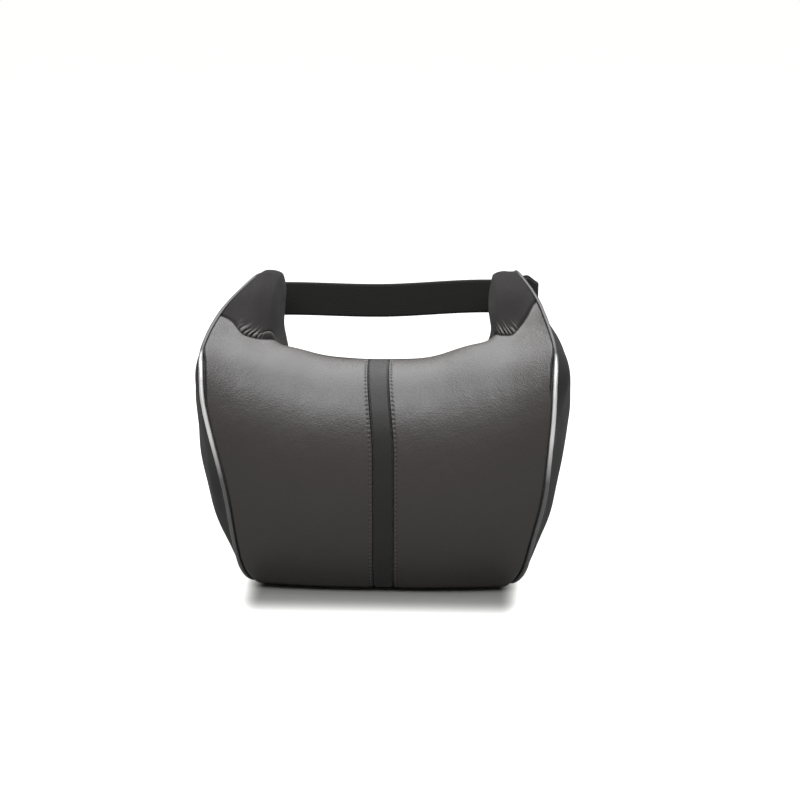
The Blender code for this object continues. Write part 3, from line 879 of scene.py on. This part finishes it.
def leather_material(name, dark, light, roughness, grain, depth, shine, sheen):
    """Leather with cells of grain, finer pores, and slow changes of colour and shine."""
    nodes = Nodes(name, light, roughness)
    cells = nodes.add("TexVoronoi", Scale=grain, feature="SMOOTH_F1")
    nodes.put(nodes.place(), cells.inputs["Vector"])
    pores = nodes.noise(grain * 2.6)
    normal = nodes.bump(cells.outputs["Distance"], depth, 0.55)
    normal = nodes.bump(pores, depth * 0.5, 0.35, normal)
    normal = nodes.bump(nodes.noise(260.0, 2.0), 0.00035, 0.35, normal)
    cloud = nodes.math("ADD", nodes.math("MULTIPLY", nodes.noise(28.0, 4.0), 0.6),
                       nodes.math("MULTIPLY", cells.outputs["Distance"], 0.5))
    return nodes.finish(
        colour=nodes.mix(cloud, dark, light),
        roughness=nodes.ramp(nodes.noise(90.0), roughness - 0.05, roughness + 0.05),
        normal=normal,
        Specular_IOR_Level=shine,
        Specular_Tint=(0.93, 0.97, 1.0, 1.0),
        Sheen_Weight=sheen,
        Sheen_Roughness=0.42,
        Sheen_Tint=(0.92, 0.95, 1.0, 1.0),
    )


def knit_material():
    """A fine knit: columns of V-shaped loops with a soft fuzz, and a painted highlight on the gathers'
    ridges.
    """
    nodes = Nodes("knit", (0.040, 0.038, 0.038), 0.92)
    attribute = nodes.add("Attribute", attribute_name="cloth_place")
    split = nodes.add("SeparateXYZ")
    nodes.put(attribute.outputs["Vector"], split.inputs[0])
    wale = nodes.math("DIVIDE", split.outputs["X"], KNIT_WALE)
    inside = nodes.math("ABSOLUTE", nodes.math("SUBTRACT", nodes.math("FRACT", wale), 0.5))
    row = nodes.math("DIVIDE", split.outputs["Y"], KNIT_COURSE)
    course = nodes.math("ADD", row, nodes.math("MULTIPLY", inside, 1.3))
    loop = nodes.math("ABSOLUTE", nodes.math("SINE", nodes.math("MULTIPLY", course, math.pi)))
    groove = nodes.math("SINE", nodes.math("MULTIPLY", inside, 2 * math.pi))
    height = nodes.math("MULTIPLY", loop, nodes.math("ADD", nodes.math("MULTIPLY", groove, 0.6), 0.4))
    normal = nodes.bump(height, 0.0003, 0.7)
    normal = nodes.bump(nodes.noise(2600.0), 0.00015, 0.4, normal)
    cloud = nodes.math("MULTIPLY", nodes.noise(40.0), 0.5)
    shade = nodes.math("ADD", nodes.math("MULTIPLY", height, 0.6), cloud)
    plain = nodes.mix(shade, (0.010, 0.0095, 0.0095), (0.030, 0.028, 0.028))
    # Painted highlight: the gathers' ridge tops are coloured lighter, standing in for light caught on
    # them.
    ridge_highlight = nodes.ramp(nodes.math("DIVIDE", split.outputs["Z"], GATHER_HEIGHT / 2), 0.0, 1.0)
    return nodes.finish(
        colour=nodes.mix(ridge_highlight, plain, (0.20, 0.197, 0.192)),
        roughness=nodes.ramp(nodes.noise(300.0), 0.86, 0.97),
        normal=normal,
        Specular_IOR_Level=0.1,
        Sheen_Weight=0.05,
        Sheen_Roughness=0.45,
    )


def webbing_material():
    """Woven elastic: fine ribs across the strap and yarn lines along it."""
    nodes = Nodes("webbing", (0.012, 0.012, 0.012), 0.8)
    attribute = nodes.add("Attribute", attribute_name="cloth_place")
    split = nodes.add("SeparateXYZ")
    nodes.put(attribute.outputs["Vector"], split.inputs[0])
    rib = nodes.math("SINE", nodes.math("MULTIPLY", split.outputs["X"], 2 * math.pi / WEBBING_RIB))
    yarn = nodes.math("SINE", nodes.math("MULTIPLY", split.outputs["Y"], 2 * math.pi / WEBBING_YARN))
    height = nodes.math("ADD", nodes.math("MULTIPLY", rib, 0.5), nodes.math("MULTIPLY", yarn, 0.35))
    normal = nodes.bump(height, 0.0002, 0.6)
    return nodes.finish(
        colour=nodes.mix(nodes.ramp(height, 0.5, 1.0), (0.008, 0.008, 0.008), (0.018, 0.018, 0.017)),
        roughness=nodes.ramp(nodes.noise(500.0), 0.7, 0.85),
        normal=nodes.bump(nodes.noise(1800.0), 0.0001, 0.4, normal),
        Specular_IOR_Level=0.25,
        Sheen_Weight=0.05,
    )


def vinyl_material():
    """Glossy dark vinyl folded over the piping's cord, with a painted highlight: near-white in a band of
    height at the front.
    """
    nodes = Nodes("vinyl", (0.16, 0.16, 0.165), 0.3)
    split = nodes.add("SeparateXYZ")
    nodes.put(nodes.place(), split.inputs[0])
    # Share of painted highlight: the cord's colour turns near-white where the lamps' reflection would
    # show.
    painted_highlight = 1.0
    for axis, start, end, least in PAINTED_HIGHLIGHT_RANGES:
        share = nodes.math("DIVIDE", nodes.math("SUBTRACT", split.outputs[axis], start), end - start)
        painted_highlight = nodes.math("MULTIPLY", painted_highlight, nodes.ramp(share, least, 1.0))
    plain = nodes.mix(nodes.noise(120.0, 4.0), (0.04, 0.04, 0.042), (0.065, 0.065, 0.067))
    return nodes.finish(
        # Painted highlight: the near-white colour below stands in for a reflection on the dark cord.
        colour=nodes.mix(painted_highlight, plain, (0.92, 0.92, 0.925)),
        roughness=nodes.ramp(nodes.noise(420.0), 0.30, 0.38),
        normal=nodes.bump(nodes.noise(900.0), 0.00012, 0.25),
        Metallic=0.75,
    )


def thread_material():
    """Twisted polyester thread."""
    nodes = Nodes("thread", (0.06, 0.06, 0.06), 0.5)
    twist = nodes.add("TexWave", Scale=900.0, Distortion=0.5, bands_direction="DIAGONAL")
    nodes.put(nodes.place(), twist.inputs["Vector"])
    return nodes.finish(
        colour=nodes.mix(twist.outputs["Fac"], (0.04, 0.04, 0.04), (0.09, 0.088, 0.086)),
        normal=nodes.bump(twist.outputs["Fac"], 0.0001, 0.5),
    )


def foam_material():
    """Pale open-cell foam."""
    nodes = Nodes("foam", (0.78, 0.76, 0.70), 0.95)
    cells = nodes.add("TexVoronoi", Scale=700.0)
    nodes.put(nodes.place(), cells.inputs["Vector"])
    return nodes.finish(
        colour=nodes.mix(nodes.noise(60.0), (0.74, 0.71, 0.63), (0.82, 0.80, 0.74)),
        normal=nodes.bump(cells.outputs["Distance"], 0.0006, 0.8),
    )


def background_seen(tree, reflected):
    """A node value that is 1 where the background is seen, and the given share in reflections."""
    path = tree.nodes.new("ShaderNodeLightPath")
    level = path.outputs["Is Camera Ray"]
    for name, share in (("Is Transmission Ray", 1.0), ("Is Glossy Ray", reflected)):
        part = tree.nodes.new("ShaderNodeMath")
        part.operation = "MULTIPLY"
        part.inputs[1].default_value = share
        tree.links.new(path.outputs[name], part.inputs[0])
        either = tree.nodes.new("ShaderNodeMath")
        either.operation = "MAXIMUM"
        tree.links.new(level, either.inputs[0])
        tree.links.new(part.outputs[0], either.inputs[1])
        level = either.outputs[0]
    return level


def floor_material():
    """A matt pale floor, seen white away from the pillow; round the pillow the white glow fades out, a
    painted shadow over its real shadow.
    """
    nodes = Nodes("floor", (0.27, 0.27, 0.265), 0.9)
    split = nodes.add("SeparateXYZ")
    nodes.put(nodes.place(), split.inputs[0])
    # The glow fades out in a box round the pillow, shaped like its shadow: a painted shadow on top of the
    # lamps' real one.
    away = 0.0
    for axis, half, reach in zip("XY", PAINTED_SHADOW_HALF_SIZE, PAINTED_SHADOW_REACH):
        beyond = nodes.math("SUBTRACT", nodes.math("ABSOLUTE", split.outputs[axis]), half)
        share = nodes.math("DIVIDE", nodes.math("MAXIMUM", beyond, 0.0), reach)
        away = nodes.math("ADD", away, nodes.math("MULTIPLY", share, share))
    seen = background_seen(nodes.tree, REFLECTED_FLOOR)
    glow = nodes.math("MULTIPLY", seen, nodes.math("MINIMUM", away, 1.0))
    nodes.put(glow, nodes.shader.inputs["Emission Strength"])
    return nodes.finish(Emission_Color=WHITE, Specular_IOR_Level=0.0)


def make_floor():
    """A wide pale floor."""
    half = 6.0
    corners = [(-half, -half, 0), (half, -half, 0), (half, half, 0), (-half, half, 0)]
    mesh = bpy.data.meshes.new("floor")
    mesh.from_pydata(corners, [], [(0, 1, 2, 3)])
    mesh.materials.append(floor_material())
    floor = bpy.data.objects.new("floor", mesh)
    bpy.context.scene.collection.objects.link(floor)


def make_world():
    """A soft studio: a white backdrop, and a dim light on the object."""
    world = bpy.data.worlds.new("studio")
    bpy.context.scene.world = world
    world.use_nodes = True
    tree = world.node_tree
    background = tree.nodes["Background"]
    background.inputs["Color"].default_value = WHITE
    level = tree.nodes.new("ShaderNodeMapRange")
    level.inputs["To Min"].default_value = WORLD_LIGHT
    level.inputs["To Max"].default_value = 1.0
    tree.links.new(background_seen(tree, REFLECTED_BACKDROP), level.inputs["Value"])
    tree.links.new(level.outputs[0], background.inputs["Strength"])


def softbox(name, place, target, size, radiance):
    """An area lamp of that size and brightness that faces a point."""
    lamp = bpy.data.lights.new(name, "AREA")
    lamp.shape = "RECTANGLE"
    lamp.size, lamp.size_y = size
    lamp.energy = radiance * math.pi * size[0] * size[1]
    item = bpy.data.objects.new(name, lamp)
    bpy.context.scene.collection.objects.link(item)
    item.location = place
    item.rotation_euler = (Vector(target) - Vector(place)).to_track_quat("-Z", "Y").to_euler()


def make_lights():
    """A large softbox overhead, one above the front, and a weak one behind the camera."""
    middle = (0.0, 0.0, 0.12)
    softbox("overhead", (0.0, 0.30, 1.30), middle, (1.5, 1.7), 4.7)
    softbox("overhead_front", (0.0, -0.87, 1.21), middle, (1.4, 0.60), 6.6)
    softbox("camera_side", (-0.1, -1.85, 0.62), middle, (1.2, 0.7), 0.45)


def make_camera():
    """The camera where the photograph's stood."""
    camera = bpy.data.cameras.new("camera")
    camera.sensor_width = SENSOR_WIDTH
    camera.lens = CAMERA_FOCAL_PX / IMAGE_SIZE * SENSOR_WIDTH
    item = bpy.data.objects.new("camera", camera)
    bpy.context.scene.collection.objects.link(item)
    azimuth, elevation = math.radians(CAMERA_AZIMUTH), math.radians(CAMERA_ELEVATION)
    back = Vector((math.sin(azimuth) * math.cos(elevation), -math.cos(azimuth) * math.cos(elevation),
                   math.sin(elevation)))
    item.location = Vector(CAMERA_TARGET) + back * CAMERA_DISTANCE
    item.rotation_euler = (-back).to_track_quat("-Z", "Y").to_euler()
    bpy.context.scene.camera = item


def dress():
    """Every piece of the pillow."""
    leather = leather_material(
        "leather", (0.0158, 0.0104, 0.0080), (0.0222, 0.0150, 0.0118),
        roughness=0.46, grain=900.0, depth=0.00026, shine=0.74, sheen=0.05)
    side_leather = leather_material(
        "side_leather", (0.022, 0.022, 0.023), (0.034, 0.034, 0.036),
        roughness=0.60, grain=900.0, depth=0.00020, shine=0.12, sheen=0.0)
    smooth_leather = leather_material(
        "smooth_leather", (0.018, 0.017, 0.016), (0.024, 0.023, 0.022),
        roughness=0.50, grain=1600.0, depth=0.00010, shine=0.22, sheen=0.2)
    vinyl, thread = vinyl_material(), thread_material()
    for name, side in (("right", 1.0), ("left", -1.0)):
        front_panel("front_panel_" + name, side, leather)
        side_panel("side_panel_" + name, side, side_leather)
        piping("piping_" + name, side, vinyl)
        topstitch("topstitch_" + name, side, thread)
    centre_strip(smooth_leather)
    back_panel(knit_material())
    strap(webbing_material())
    foam_core(foam_material())


make_camera()
dress()
make_floor()
make_world()
make_lights()
bpy.context.scene.view_settings.view_transform = "Standard"
